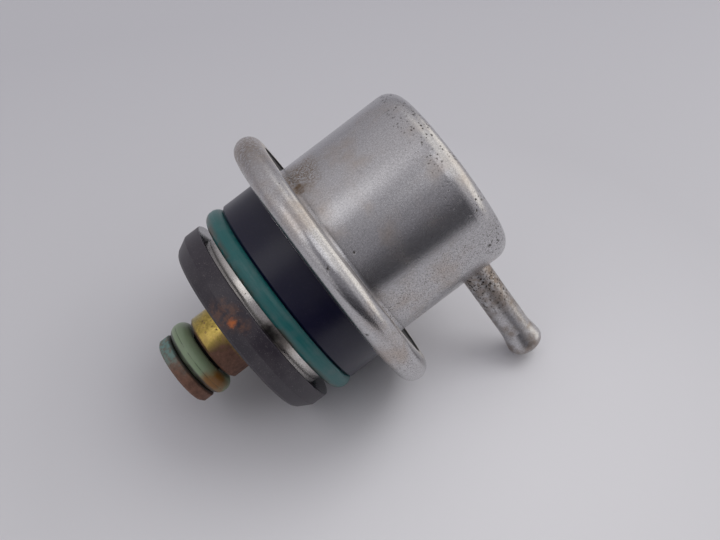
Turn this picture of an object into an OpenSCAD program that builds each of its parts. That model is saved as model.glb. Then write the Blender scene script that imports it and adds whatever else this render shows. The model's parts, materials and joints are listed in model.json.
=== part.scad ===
// Fuel pressure regulator for a fuel rail.
// The regulator's axis runs along X: the closed end of the spring housing is at +X and the
// return tube at -X. The origin is on the axis, in the plane of the flange's rail face.

/* [Spring housing] */
// Outside diameter of the drawn cup
cup_d = 23.5; // [21:0.1:26]
// Height of the closed end above the rail face
cup_h = 19.7; // [18:0.1:26]
// Sheet thickness of the cup
cup_wall = 0.9; // [0.6:0.05:1.2]
// Outside radius of the corner at the closed end
cup_corner_r = 2.3; // [1.5:0.1:3]
// Radius of the hollow where the wall turns out into the flange
cup_foot_r = 1.2; // [0.8:0.1:1.5]
// Diameter of the dish that sets the pressure, in the closed end
dish_d = 9; // [6:0.1:10]
// Depth of the dish
dish_depth = 0.7; // [0.3:0.05:1]

/* [Vacuum nipple] */
// Outside diameter of the tube
nipple_d = 3.9; // [3.4:0.05:4.4]
// Diameter of the bore
nipple_bore_d = 2.4; // [1.8:0.05:2.8]
// Diameter over the bead that holds the hose
nipple_bead_d = 4.6; // [4.3:0.05:5.4]
// Length of the ramp that leads up to the bead
nipple_ramp = 2.2; // [1.6:0.1:3.5]
// Distance from the regulator's axis to the nipple's tip
nipple_reach = 25.8; // [20:0.1:32]
// Distance from the closed end down to the nipple's axis
nipple_drop = 5; // [4.6:0.1:8]
// Angle that the nipple points below the horizontal
nipple_clock = 58; // [0:1:360]

/* [Crimped flange] */
// Outside diameter of the rolled rim
flange_d = 35; // [33:0.1:38]
// Sheet thickness of the lower housing
shell_wall = 1; // [0.7:0.05:1.2]
// Width of the rim from its outside to the cut edge of its lip
lip_reach = 2.6; // [2.2:0.1:3]
// Thickness of the diaphragm
diaphragm_t = 0.6; // [0.4:0.05:0.9]
// Height of the rolled fold in the diaphragm
fold_rise = 0.6; // [0.3:0.05:0.7]

/* [Spigot, support ring and rail seal] */
// Outside diameter of the spigot that enters the rail
spigot_d = 20.6; // [19:0.1:21.6]
// Radius of the hollow under the flange, beside the spigot
spigot_root_r = 0.6; // [0.3:0.05:1]
// Outside radius of the spigot's bottom corner
spigot_corner_r = 1.4; // [1.2:0.1:2]
// Width of the support ring, from the spigot to its outside
support_w = 2.18; // [1.8:0.02:3]
// Height of the support ring
support_h = 4.8; // [3.5:0.1:7]
// Cord diameter of the rail seal
rail_cord = 2.6; // [2:0.05:3.2]
// Room left beside the rail seal in its groove
rail_seal_slack = 0.8; // [0.3:0.05:1.5]
// Number of fuel inlets in the spigot's bottom
inlet_count = 6; // [3:1:8]
// Diameter of a fuel inlet
inlet_d = 2.2; // [1.5:0.1:2.6]
// Diameter of the circle that the fuel inlets lie on
inlet_circle_d = 13.4; // [12.6:0.1:14]

/* [Strainer] */
// Width of the strainer's rim, from the spigot to its outside
strainer_w = 2.1; // [1.5:0.02:2.5]
// Height of the strainer's rim
strainer_h = 3.8; // [3:0.1:5]
// Length of spigot that the rim grips
strainer_grip = 1.2; // [0.8:0.1:1.5]
// Radius of the rim's upper edge
strainer_top_r = 0.2; // [0.1:0.05:0.8]
// Height of the lead-in taper on the rim
strainer_taper_h = 1.8; // [1:0.1:2.2]
// Depth of the lead-in taper
strainer_taper_w = 0.8; // [0.4:0.05:1]
// Thickness of the ribbed floor
strainer_floor = 1.1; // [0.8:0.05:1.3]
// Wall of the hub round the return tube
strainer_hub_wall = 1.2; // [0.8:0.1:1.5]
// Number of windows in the floor
window_count = 6; // [4:1:10]
// Width of a rib between two windows
rib_w = 1.4; // [0.8:0.1:2]
// Thickness of the woven screen
screen_t = 0.2; // [0.1:0.05:0.4]

/* [Return tube and its seal] */
// Outside diameter of the tube's body
tube_d = 8.5; // [8:0.1:9.4]
// Diameter of the bore
tube_bore_d = 3; // [2.4:0.1:3.2]
// Distance from the rail face to the tube's end
tube_reach = 20.6; // [18:0.1:26]
// Diameter of the end collar
collar_d = 8.8; // [8.2:0.1:9.4]
// Thickness of the end collar
collar_h = 1.7; // [1:0.1:2.5]
// Diameter of the seal groove's floor
groove_d = 4.7; // [4.4:0.05:5]
// Cord diameter of the return seal
return_cord = 2.5; // [2.3:0.05:2.7]
// Room left beside the return seal in its groove
return_seal_slack = 0.4; // [0.3:0.05:1.2]
// Diameter of the neck that passes through the spigot's bottom
neck_d = 6.6; // [6:0.1:7.2]
// Diameter of the flare that rivets the neck
flare_d = 8.2; // [7.8:0.1:9]
// Height of the flare
flare_h = 0.8; // [0.5:0.05:1]
// Diameter of the raised valve seat
seat_d = 5; // [4.4:0.1:5.4]

/* [Valve] */
// Diameter of the valve ball
ball_d = 3.8; // [3.4:0.1:4.2]
// Diameter of the flat ground on the ball
ball_flat_d = 2.4; // [1.8:0.1:2.6]
// Depth of the ball's centre below the diaphragm
ball_drop = 1.2; // [1:0.05:1.6]
// Diameter of the valve plate
plate_d = 6.8; // [6:0.1:8]
// Thickness of the valve plate
plate_t = 0.8; // [0.5:0.05:1.2]
// Diameter of the valve holder's disc under the diaphragm
holder_d = 14; // [12:0.1:15]
// Thickness of that disc
holder_t = 0.8; // [0.5:0.05:1]
// Diameter of the valve holder's boss
boss_d = 7.4; // [7:0.1:8.4]
// Diameter of the stem that passes through the diaphragm
stem_d = 5.2; // [4.9:0.1:5.6]
// Diameter of the rivet head on the stem
rivet_d = 6.8; // [6.2:0.1:7.6]
// Height of the rivet head
rivet_h = 0.6; // [0.4:0.05:1]
// Outside diameter of the ball retainer
retainer_d = 5.8; // [5.2:0.1:6.2]
// Thickness of the ball retainer
retainer_t = 0.4; // [0.3:0.05:0.5]

/* [Pressure spring and its seat] */
// Gap between the spring seat and the cup's wall, which the diaphragm's fold bridges
fold_room = 2.15; // [1.9:0.05:2.6]
// Sheet thickness of the spring seat
spring_seat_t = 0.8; // [0.6:0.05:1]
// Height of the spring seat's upturned rim
spring_seat_rim = 1.4; // [0.8:0.1:2]
// Wire diameter of the spring
wire_d = 1.8; // [1.4:0.05:2]
// Clearance between the coils and the spring seat's rim
coil_clear = 0.4; // [0.2:0.05:0.6]
// Number of turns
coil_turns = 6.5; // [5:0.5:7]

/* [Hidden] */

$fn = 96;

// Clearance of a part that is pressed, brazed or stretched on another
snug = 0.02;
// Clearance of the ball in its socket
ball_clear = 0.05;
// Overshoot of a cutting tool
past = 1;
// Broken edge of a turned or moulded piece
edge = 0.3;

// Radii
cup_r = cup_d / 2;
cup_in_r = cup_r - cup_wall;
flange_r = flange_d / 2;
spigot_r = spigot_d / 2;
spigot_in_r = spigot_r - shell_wall;
nipple_r = nipple_d / 2;
tube_r = tube_d / 2;
tube_bore_r = tube_bore_d / 2;
neck_r = neck_d / 2;
ball_r = ball_d / 2;
stem_r = stem_d / 2;
boss_r = boss_d / 2;
retainer_r = retainer_d / 2;
spring_seat_r = cup_in_r - fold_room;
coil_r = spring_seat_r - spring_seat_t - coil_clear - wire_d / 2;

// Heights along the axis, from the rail face: the crimped stack
diaphragm_z = shell_wall;
cup_flange_z = diaphragm_z + diaphragm_t;
lip_z = cup_flange_z + cup_wall;
flange_t = lip_z + shell_wall;
rim_r = flange_t / 2;
pocket_r = flange_r - shell_wall;
crimp_gap = 0.1;
nipple_height = cup_h - nipple_drop;

// Heights below the rail face: seal groove, strainer, spigot and return tube
rail_seal_z = -support_h - rail_cord / 2;
strainer_z = -support_h - rail_cord - rail_seal_slack;
strainer_low_z = strainer_z - strainer_h;
strainer_floor_z = strainer_low_z + strainer_floor;
spigot_low_z = strainer_z - strainer_grip;
tube_end_z = -tube_reach;
groove_low_z = tube_end_z + collar_h;
groove_top_z = groove_low_z + return_cord + return_seal_slack;
return_seal_z = groove_low_z + return_cord / 2;

// Heights of the valve, which hangs from the diaphragm
ball_z = diaphragm_z - ball_drop;
plate_top_z = ball_z - sqrt(pow(ball_r, 2) - pow(ball_flat_d / 2, 2));
seat_z = plate_top_z - plate_t;
boss_low_z = (ball_z + plate_top_z) / 2 - retainer_t;
stem_top_z = cup_flange_z + spring_seat_t;
rivet_top_z = stem_top_z + rivet_h;

// Widths that follow from the pieces beside them
hub_r = tube_r + strainer_hub_wall;
rim_in_r = spigot_r + snug;
rim_out_r = rim_in_r + strainer_w;
fold_in_r = spring_seat_r + edge;
fold_out_r = cup_in_r + cup_foot_r;
fold_mid_r = (fold_in_r + fold_out_r) / 2;
fold_half = (fold_out_r - fold_in_r) / 2;
fold_arc_r = (pow(fold_half, 2) + pow(fold_rise, 2)) / (2 * fold_rise);
fold_arc_z = diaphragm_z + diaphragm_t / 2 + fold_rise - fold_arc_r;

// Colours
STEEL = "#a9a69f";
DULL_STEEL = "#8e8c88";
PLASTIC = "#2b292d";
TEAL = "#1f5a56";
SAGE = "#7c9a80";
BRASS = "#b8a04a";
CLOTH_RUBBER = "#4a3a30";

// Lays a shape that is built along Z on the regulator's axis
module on_axis() rotate([0, 90, 0]) children();

// Turns a profile of radius and height about the axis
module turned() on_axis() rotate_extrude() children();

// Profile of a straight band between two radii and two heights
module band(r0, r1, z0, z1) translate([r0, z0]) square([r1 - r0, z1 - z0]);

// Profile of sheet bent round a centre, over the quarter that starts at an angle
module bend(r, z, inner, outer, start) {
    translate([r, z]) rotate(start) intersection() {
        difference() {
            circle(outer);
            circle(inner);
        }
        square(outer);
    }
}

// Places a shape at a number of even steps round the axis
module around(count) for (i = [0 : count - 1]) rotate([0, 0, i * 360 / count]) children();

// Aims a shape that is built along Z outwards along the nipple
module on_nipple() on_axis() rotate([0, 0, nipple_clock - 90]) translate([0, 0, nipple_height])
    rotate([0, 90, 0]) children();

// Drawn cup: flange, foot, wall, corner and dished end
module spring_housing_profile() {
    corner_in = max(cup_corner_r - cup_wall, edge);
    end_z = cup_h - cup_wall;
    foot_out = cup_foot_r + cup_wall;
    foot_z = cup_flange_z + foot_out;
    corner_z = cup_h - cup_corner_r;
    band(cup_in_r + foot_out, pocket_r - crimp_gap, cup_flange_z, lip_z);
    bend(cup_in_r + foot_out, foot_z, cup_foot_r, foot_out, 180);
    band(cup_in_r, cup_r, foot_z, corner_z);
    bend(cup_r - cup_corner_r, corner_z, corner_in, cup_corner_r, 0);
    dish_r = dish_d / 2;
    dish_flat_r = dish_r - 2 * dish_depth;
    polygon([
        [0, end_z - dish_depth], [dish_flat_r, end_z - dish_depth], [dish_r, end_z],
        [cup_r - cup_corner_r, end_z], [cup_r - cup_corner_r, cup_h], [dish_r, cup_h],
        [dish_flat_r, cup_h - dish_depth], [0, cup_h - dish_depth]
    ]);
}

module spring_housing() color(STEEL) difference() {
    turned() spring_housing_profile();
    on_nipple() cylinder(h = nipple_reach, r = nipple_r + snug);
}

// Beaded tube: it starts just inside the cup's wall, and a ramp runs up to its domed end
module vacuum_nipple() {
    bore_r = nipple_bore_d / 2;
    dome_r = nipple_bead_d / 2 - bore_r;
    dome_z = nipple_reach - dome_r;
    ramp_z = dome_z - nipple_ramp;
    foot = [nipple_r - bore_r, -nipple_ramp];
    meets = atan2(foot.y, foot.x) + acos(dome_r / norm(foot));
    color(STEEL) on_nipple() rotate_extrude() {
        band(bore_r, nipple_r, cup_in_r - edge, dome_z);
        intersection() {
            translate([bore_r, dome_z]) {
                circle(dome_r);
                polygon([[0, 0], [0, foot.y], foot, dome_r * [cos(meets), sin(meets)]]);
            }
            band(bore_r, bore_r + dome_r, ramp_z, nipple_reach);
        }
    }
}

// Rolled rim that holds the diaphragm and the cup's flange
module rim_profile() difference() {
    union() {
        translate([flange_r - rim_r, rim_r]) circle(rim_r);
        band(flange_r - lip_reach, flange_r - rim_r, 0, flange_t);
    }
    band(0, pocket_r, diaphragm_z, lip_z);
}

module lower_housing() {
    root_out = spigot_root_r + shell_wall;
    corner_in = spigot_corner_r - shell_wall;
    corner_z = spigot_low_z + spigot_corner_r;
    color(DULL_STEEL) difference() {
        turned() {
            rim_profile();
            band(spigot_r + spigot_root_r, flange_r - lip_reach + past, 0, shell_wall);
            bend(spigot_r + spigot_root_r, -spigot_root_r, spigot_root_r, root_out, 90);
            band(spigot_in_r, spigot_r, corner_z, -spigot_root_r);
            bend(spigot_r - spigot_corner_r, corner_z, corner_in, spigot_corner_r, 270);
            band(neck_r + snug, spigot_r - spigot_corner_r, spigot_low_z, spigot_low_z + shell_wall);
        }
        on_axis() around(inlet_count) translate([inlet_circle_d / 2, 0, spigot_low_z - past])
            cylinder(h = shell_wall + 2 * past, d = inlet_d);
    }
}

// Ring with a bevel at its top that clears the hollow under the flange
module support_ring() {
    r0 = spigot_r + snug;
    r1 = r0 + support_w;
    bevel = spigot_root_r + edge;
    color(PLASTIC) turned() polygon([
        [r0, -support_h], [r1 - edge, -support_h], [r1, edge - support_h], [r1, -edge],
        [r1 - edge, 0], [r0 + bevel, 0], [r0, -bevel]
    ]);
}

module rail_seal() color(TEAL) turned()
    translate([spigot_r + snug + rail_cord / 2, rail_seal_z]) circle(rail_cord / 2);

// Rim with a rounded upper edge, which meets the seal, and a lead-in taper below
module strainer_rim_profile() {
    top_z = strainer_z - strainer_top_r;
    top_r = rim_out_r - strainer_top_r;
    taper_z = strainer_low_z + strainer_taper_h;
    taper_r = rim_out_r - strainer_taper_w;
    polygon([
        [rim_in_r, strainer_low_z], [taper_r - edge, strainer_low_z],
        [taper_r, strainer_low_z + edge], [rim_out_r, taper_z], [rim_out_r, top_z],
        [top_r, top_z], [top_r, strainer_z], [rim_in_r, strainer_z]
    ]);
    bend(top_r, top_z, 0, strainer_top_r, 0);
}

module strainer_frame() color(PLASTIC) {
    turned() {
        strainer_rim_profile();
        band(tube_r + snug, hub_r, strainer_low_z, spigot_low_z);
    }
    on_axis() intersection() {
        around(window_count) translate([0, -rib_w / 2, strainer_low_z])
            cube([rim_out_r, rib_w, strainer_floor]);
        rotate_extrude() band(hub_r - edge, rim_in_r + edge, strainer_low_z, strainer_floor_z);
    }
}

module strainer_screen() color(DULL_STEEL) turned()
    band(hub_r, rim_in_r, strainer_floor_z, strainer_floor_z + screen_t);

// Turned tube: end collar, seal groove, body, riveted neck and raised seat
module return_tube() {
    collar_r = collar_d / 2;
    groove_r = groove_d / 2;
    flare_r = flare_d / 2;
    seat_r = seat_d / 2;
    floor_z = spigot_low_z + shell_wall;
    flare_z = floor_z + flare_h;
    color(BRASS) turned() polygon([
        [tube_bore_r, tube_end_z + edge], [tube_bore_r + edge, tube_end_z],
        [collar_r - edge, tube_end_z], [collar_r, tube_end_z + edge],
        [collar_r, groove_low_z - edge], [collar_r - edge, groove_low_z],
        [groove_r, groove_low_z], [groove_r, groove_top_z],
        [tube_r - edge, groove_top_z], [tube_r, groove_top_z + edge],
        [tube_r, spigot_low_z], [neck_r, spigot_low_z], [neck_r, floor_z],
        [flare_r, floor_z], [flare_r, flare_z - edge], [flare_r - edge, flare_z],
        [neck_r, flare_z], [neck_r, seat_z - neck_r + seat_r],
        [seat_r, seat_z], [tube_bore_r + edge, seat_z], [tube_bore_r, seat_z - edge]
    ]);
}

module return_seal() color(SAGE) turned()
    translate([groove_d / 2 + snug + return_cord / 2, return_seal_z]) circle(return_cord / 2);

// Cloth-reinforced disc with one rolled fold between the spring seat and the clamp
module diaphragm() {
    top_z = diaphragm_z + diaphragm_t;
    fold_top_r = fold_arc_r + diaphragm_t / 2;
    color(CLOTH_RUBBER) turned() difference() {
        union() {
            band(stem_r + snug, pocket_r - crimp_gap, diaphragm_z, top_z);
            intersection() {
                translate([fold_mid_r, fold_arc_z]) circle(fold_top_r);
                band(stem_r + past, pocket_r - past, top_z - diaphragm_t / 2, top_z + fold_top_r);
            }
        }
        translate([fold_mid_r, fold_arc_z]) circle(fold_top_r - diaphragm_t);
    }
}

// Pressed plate with an upturned rim that centres the spring
module spring_seat() color(DULL_STEEL) turned() {
    band(stem_r + snug, spring_seat_r, cup_flange_z, cup_flange_z + spring_seat_t);
    band(spring_seat_r - spring_seat_t, spring_seat_r, cup_flange_z,
        cup_flange_z + spring_seat_t + spring_seat_rim);
}

// Disc, boss and riveted stem, with a socket for the ball
module valve_holder() {
    socket_r = ball_r + ball_clear;
    socket_top_z = ball_z + ball_r + ball_clear;
    step_z = boss_low_z + retainer_t;
    color(STEEL) turned() difference() {
        union() {
            band(0, holder_d / 2, diaphragm_z - holder_t, diaphragm_z);
            band(0, boss_r, boss_low_z, diaphragm_z);
            band(0, stem_r, diaphragm_z, stem_top_z);
            band(0, rivet_d / 2, stem_top_z, rivet_top_z);
        }
        band(0, socket_r, boss_low_z - past, socket_top_z);
        band(0, retainer_r + snug, boss_low_z - past, step_z);
    }
}

// Ball with a ground flat, which lets the plate lie square on the seat
module valve_ball() color(STEEL) on_axis() difference() {
    translate([0, 0, ball_z]) sphere(ball_r);
    translate([0, 0, plate_top_z - ball_d]) cylinder(h = ball_d, d = ball_d + past);
}

// Washer under the ball's equator
module ball_retainer() {
    top_z = boss_low_z + retainer_t;
    ball_at_top = sqrt(pow(ball_r, 2) - pow(ball_z - top_z, 2));
    color(DULL_STEEL) turned() band(ball_at_top + ball_clear, retainer_r, boss_low_z, top_z);
}

module valve_plate() color(STEEL) turned() polygon([
    [0, seat_z], [plate_d / 2 - edge, seat_z], [plate_d / 2, seat_z + edge],
    [plate_d / 2, plate_top_z], [0, plate_top_z]
]);

// Height along the spring: close coils at both ends, which are ground flat
function coil_z(turn, z0, z1, close) =
    turn < 1 ? z0 + close * turn
    : turn > coil_turns - 1 ? z1 - close * (coil_turns - turn)
    : z0 + close + (z1 - z0 - 2 * close) * (turn - 1) / (coil_turns - 2);

module pressure_spring() {
    z0 = cup_flange_z + spring_seat_t;
    z1 = cup_h - cup_wall;
    close = wire_d + edge / 3;
    steps = 28;
    sides = 10;
    rings = floor(coil_turns * steps);
    points = [
        for (i = [0 : rings], j = [0 : sides - 1])
            let (turn = coil_turns * i / rings)
            let (out = coil_r + wire_d / 2 * cos(j * 360 / sides))
            let (up = coil_z(turn, z0, z1, close) + wire_d / 2 * sin(j * 360 / sides))
            [out * cos(turn * 360), out * sin(turn * 360), up]
    ];
    walls = [
        for (i = [0 : rings - 1], j = [0 : sides - 1])
            let (a = i * sides + j)
            let (b = i * sides + (j + 1) % sides)
            [a, a + sides, b + sides, b]
    ];
    caps = [
        [for (j = [0 : sides - 1]) j],
        [for (j = [sides - 1 : -1 : 0]) rings * sides + j]
    ];
    color(DULL_STEEL) on_axis() intersection() {
        polyhedron(points, concat(walls, caps));
        translate([0, 0, z0]) cylinder(h = z1 - z0, r = coil_r + wire_d);
    }
}

spring_housing();
vacuum_nipple();
lower_housing();
support_ring();
rail_seal();
strainer_frame();
strainer_screen();
return_tube();
return_seal();
diaphragm();
spring_seat();
valve_holder();
valve_ball();
ball_retainer();
valve_plate();
pressure_spring();
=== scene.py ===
import json
import math

import bmesh
import bpy
from mathutils import Matrix, Quaternion, Vector

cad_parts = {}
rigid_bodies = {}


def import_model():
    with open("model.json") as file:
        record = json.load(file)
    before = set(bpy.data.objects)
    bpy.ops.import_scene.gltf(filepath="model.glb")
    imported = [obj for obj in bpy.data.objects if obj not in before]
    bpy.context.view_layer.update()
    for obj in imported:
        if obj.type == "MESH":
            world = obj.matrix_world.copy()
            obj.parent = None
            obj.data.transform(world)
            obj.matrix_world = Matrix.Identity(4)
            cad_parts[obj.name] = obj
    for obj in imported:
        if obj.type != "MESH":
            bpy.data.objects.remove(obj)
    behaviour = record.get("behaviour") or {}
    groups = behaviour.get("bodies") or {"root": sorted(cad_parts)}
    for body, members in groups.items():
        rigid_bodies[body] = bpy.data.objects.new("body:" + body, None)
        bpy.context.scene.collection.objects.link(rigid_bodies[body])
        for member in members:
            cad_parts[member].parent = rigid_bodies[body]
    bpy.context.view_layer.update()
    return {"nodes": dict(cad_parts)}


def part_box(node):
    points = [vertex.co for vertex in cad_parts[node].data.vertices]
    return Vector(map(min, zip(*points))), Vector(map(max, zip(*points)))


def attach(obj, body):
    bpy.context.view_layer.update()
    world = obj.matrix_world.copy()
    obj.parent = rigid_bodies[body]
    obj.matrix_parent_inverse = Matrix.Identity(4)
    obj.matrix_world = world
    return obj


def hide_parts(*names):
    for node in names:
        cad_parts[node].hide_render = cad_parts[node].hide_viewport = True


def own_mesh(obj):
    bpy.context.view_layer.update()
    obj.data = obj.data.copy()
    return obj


bl_info = {
    "name": "Fuel pressure regulator",
    "version": (1, 0, 0),
    "blender": (4, 5, 0),
    "location": "View3D > Sidebar > Regulator",
    "description": "Models a fuel pressure regulator's seals, screen and spring, and gives it its finishes",
    "category": "Object",
}

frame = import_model()

MM = 0.001
PER_METRE_TO_MM = 1000.0
PHOTO_WIDTH = 720
SENSOR_WIDTH_MM = 36.0

# Brightness of the room: over the part from its far to its near horizon, and at its sides by height
OVERHEAD_TONES = (
    (0.0, 0.4), (0.126, 0.45), (0.2, 0.5), (0.272, 0.55), (0.339, 0.57), (0.405, 0.58), (0.469, 0.57),
    (0.531, 0.46), (0.592, 0.34), (0.706, 0.28), (0.814, 0.3), (0.867, 0.17), (0.92, 0.08), (1.0, 0.07))
LEFT_TONES = ((0.0, 0.45), (0.4, 0.62), (1.0, 0.8))
RIGHT_TONES = ((0.0, 0.3), (0.2, 0.44), (0.5, 0.6), (0.66, 0.86), (0.86, 1.05), (1.0, 0.9))

WINDOW_COLOUR = (1.25, 1.2, 1.12, 1)
BACKDROP_COLOUR = (0.5, 0.5, 0.53, 1)

# Stage: metres for the floor, the lamps and the card
FLOOR_RADIUS = 2.5
LAMP_DISTANCE = 450 * MM
KEY_LAMP_SIZE = 270 * MM
LAMP_SIZE = 280 * MM
CARD_WIDTH = 263 * MM
CARD_HEIGHT = 30 * MM
CARD_DISTANCE = 150 * MM
CARD_SHIFT = 87 * MM

# Angle round the axis, from +Z towards -Y, at which a surface faces the camera
FACING_DEG = 35.0

# Finest patterns, in millimetres: the real ones are finer still, and are drawn this coarse so that they show
STEEL_GRAIN_MM = 0.17
STEEL_SPECK_MM = 0.13
PLASTIC_SKIN_MM = 0.12
RUBBER_SKIN_MM = 0.2
BRASS_CRUST_MM = 0.25


def linear(code):
    """Turns an sRGB hex colour into linear red, green, blue and alpha."""
    channels = [int(code[i:i + 2], 16) / 255 for i in (1, 3, 5)]
    return (*[c / 12.92 if c <= 0.04045 else ((c + 0.055) / 1.055) ** 2.4 for c in channels], 1.0)


def room_tone(level):
    """Grey of the room at a brightness: cooler where it is dark, and warmer where it is bright."""
    return (level, level * 0.975, level * (1.1 - 0.16 * level), 1)


def length_property(label, words, millimetres):
    return bpy.props.FloatProperty(
        name=label, description=words, default=millimetres * MM, min=0.0, precision=5, unit="LENGTH")


def angle_property(label, words, degrees):
    return bpy.props.FloatProperty(
        name=label, description=words, default=math.radians(degrees), subtype="ANGLE")


def colour_property(label, words, code):
    return bpy.props.FloatVectorProperty(
        name=label, description=words, default=linear(code), size=4, min=0.0, max=1.0, subtype="COLOR")


class RegulatorSizes(bpy.types.PropertyGroup):
    """Sizes of the pieces that are modelled here."""
    flash_height: length_property("Moulding line height", "Height of a seal's moulding line", 0.025)
    flash_width: length_property("Moulding line width", "Half the width of a seal's moulding line", 0.16)
    seal_waviness: length_property("Seal waviness", "How far a fitted seal strays from a true ring", 0.1)
    seal_press: length_property("Seal press", "How far the rail seal is pressed on the support ring", 0.35)
    seal_lean: length_property("Seal lean", "How far one side of the rail seal slipped in its groove", 0.12)
    screen_pitch: length_property("Screen pitch", "Distance between two threads of the woven screen", 0.62)
    screen_thread: length_property("Screen thread", "Width of one thread of the woven screen", 0.26)
    wire_d: length_property("Spring wire", "Diameter of the pressure spring's wire", 1.8)
    coil_turns: bpy.props.FloatProperty(
        name="Spring turns", description="Number of turns of the pressure spring", default=6.5, min=3.0)


class RegulatorColours(bpy.types.PropertyGroup):
    """Colours of the finishes."""
    steel: colour_property("Steel", "Clean drawn stainless steel", "#c7c6c8")
    steel_warm: colour_property("Warm steel", "Heat-tinted and handled stainless steel", "#bdb2aa")
    stain: colour_property("Brown stain", "Dried fuel and rust film on steel", "#6d5438")
    pit: colour_property("Pit", "Dark floor of a corrosion pit", "#37302b")
    speck: colour_property("Speck", "Grey corrosion specks on steel", "#5c564f")
    # Painted highlight colour, laid on the lip's top and on the spigot
    painted_highlight: colour_property("Rubbed steel", "Steel that rubbing keeps bright", "#f6eedf")
    # Dark colour for dirt with painted shade in the crimp and on the lip's cut edge, and for a dark patch on
    # the spigot
    grime_and_shade: colour_property("Grime", "Black dirt in the crimp and on the spigot", "#1c1815")
    plastic: colour_property("Support plastic", "Black moulded support ring", "#080728")
    strainer: colour_property("Strainer plastic", "Aged black strainer", "#28222c")
    dust: colour_property("Dust", "Grey dust on plastic and rubber", "#807a7c")
    rust: colour_property("Rust", "Fresh orange rust", "#b4622c")
    rust_film: colour_property("Rust film", "Thin brown rust on plastic", "#6d4a38")
    teal: colour_property("Rail seal", "Teal fluorocarbon rubber", "#165f5f")
    sage: colour_property("Return seal", "Sage green fluorocarbon rubber", "#889b7c")
    # Brown dirt with painted shade on the rail seal's flank
    seal_dirt_and_shade: colour_property("Rail seal dirt", "Brown dirt on the rail seal's flank", "#494338")
    seam_dirt: colour_property("Seam dirt", "Dirt in the return seal's parting line", "#2c3326")
    fuel_stain: colour_property("Fuel stain", "Amber stain on the return seal", "#855a20")
    # Painted shade: the dark gap between the return seal and the collar
    groove_painted_shade: colour_property("Groove dirt", "Oily dirt in the return seal's groove", "#1c1a15")
    brass: colour_property("Brass", "Bare turned brass", "#b9a258")
    # Brown tarnish on the collar and pits, also used as painted shade towards the tube's lower side
    tarnish: colour_property("Tarnish", "Brown tarnish on brass", "#745344")
    verdigris: colour_property("Verdigris", "Blue-green copper salts", "#6f938e")
    screen: colour_property("Screen", "Grey wire of the strainer's screen", "#8d877a")
    spring_wire: colour_property("Spring wire", "Dark drawn spring wire", "#5e5b58")
    plating: colour_property("Plating", "Dulled zinc plating", "#b9b6ad")
    turned: colour_property("Turned steel", "Bare turned steel", "#bdbdbd")
    ball: colour_property("Ball", "Polished bearing steel", "#d2d2d4")
    diaphragm: colour_property("Diaphragm", "Brown cloth-reinforced rubber", "#3a2c24")
    # Painted light on the floor: darker towards the far side, lighter towards the near side
    floor_far_painted_shade: colour_property("Far floor", "Plain pale table top, at the far side", "#c5c5cc")
    floor_near_painted_light: colour_property("Near floor", "Plain pale table top, at the near side", "#dfdfe3")


class RegulatorCamera(bpy.types.PropertyGroup):
    """Where the picture is taken from."""
    azimuth: angle_property("Azimuth", "Direction of the camera round the part", 2.8)
    elevation: angle_property("Elevation", "Height of the camera over the part's own level", 55.2)
    roll: angle_property("Roll", "Turn of the camera about its own line of sight", -39.4)
    distance: length_property("Distance", "Distance from the camera to the point it looks at", 127.5)
    focal_px: bpy.props.FloatProperty(
        name="Focal length", description="Focal length in pixels of a picture 720 wide", default=1078.0)
    target: bpy.props.FloatVectorProperty(
        name="Target", description="Point in the middle of the picture", size=3, subtype="TRANSLATION",
        default=(3.66 * MM, -2.52 * MM, -1.88 * MM))


# Node and pattern helpers

def add(tree, kind, inputs=None, **settings):
    """Adds a shader node with its settings, and fills its inputs: sockets are linked and values are set."""
    made = tree.nodes.new("ShaderNode" + kind)
    for name, value in settings.items():
        setattr(made, name, value)
    for key, value in (inputs or {}).items():
        if isinstance(key, int):
            socket = made.inputs[key]
        else:
            socket = next(s for s in made.inputs if s.name == key and s.enabled)
        if isinstance(value, bpy.types.Node):
            value = next(s for s in value.outputs if s.enabled)
        if isinstance(value, bpy.types.NodeSocket):
            tree.links.new(value, socket)
        else:
            socket.default_value = value
    return made


def new_finish(name):
    """Starts a material and returns it with its node tree and its surface coordinates in millimetres."""
    material = bpy.data.materials.new(name)
    material.use_nodes = True
    tree = material.node_tree
    tree.nodes.clear()
    coords = add(tree, "TexCoord")
    place = add(tree, "VectorMath", {0: coords.outputs["Object"], "Scale": PER_METRE_TO_MM},
                operation="SCALE")
    return material, tree, place


def round_place(tree, place):
    """Place along the axis and radius in millimetres, and the angle in radians from the camera's side."""
    parts = add(tree, "SeparateXYZ", {0: place})
    away = add(tree, "Math", {0: parts.outputs["Y"], 1: -1.0}, operation="MULTIPLY")
    turn = add(tree, "Math", {0: away, 1: parts.outputs["Z"]}, operation="ARCTAN2")
    flat = add(tree, "VectorMath", {0: place, 1: (0.0, 1.0, 1.0)}, operation="MULTIPLY")
    radius = add(tree, "VectorMath", {0: flat}, operation="LENGTH")
    facing = add(tree, "Math", {0: turn, 1: math.radians(-FACING_DEG)})
    return parts.outputs["X"], radius.outputs["Value"], facing


def blotches(tree, place, size, low, high, detail=4.0):
    """Soft-edged patches of about one size in millimetres; low and high set how much they cover."""
    noise = add(tree, "TexNoise", {"Vector": place, "Scale": 1 / size, "Detail": detail})
    return add(tree, "MapRange", {"Value": noise, "From Min": low, "From Max": high},
               interpolation_type="SMOOTHSTEP")


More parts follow.
